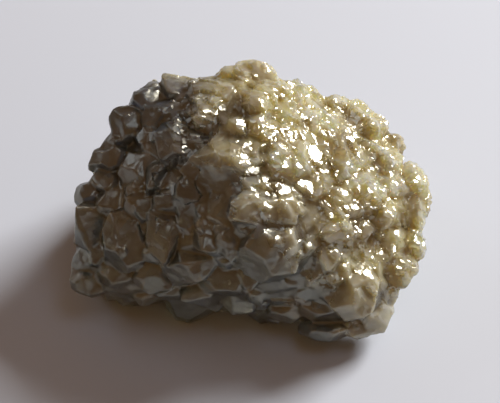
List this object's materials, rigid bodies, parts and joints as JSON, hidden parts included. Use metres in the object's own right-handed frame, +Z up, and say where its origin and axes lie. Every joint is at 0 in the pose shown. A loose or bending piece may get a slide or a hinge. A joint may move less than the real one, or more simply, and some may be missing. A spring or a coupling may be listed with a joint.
{
  "type": "rough diamond",
  "caption": "Rough diamond: a see-through lump of intergrown crystals, honey on one side and smoky grey on the other, that rests on a worn flat base.",
  "frame": {"origin": "middle of the footprint, on the worn flat base", "axes": "+X the long way of the lump, towards its honey side; -Y the front; +Z up"},
  "size_m": [0.018, 0.0134, 0.0107],
  "materials": {
    "diamond": "natural rough diamond, translucent, greasy lustre on uneven crystal faces, honey to smoky grey-brown"
  },
  "bodies": {
    "root": {"rough_diamond": "diamond"}
  },
  "joints": []
}
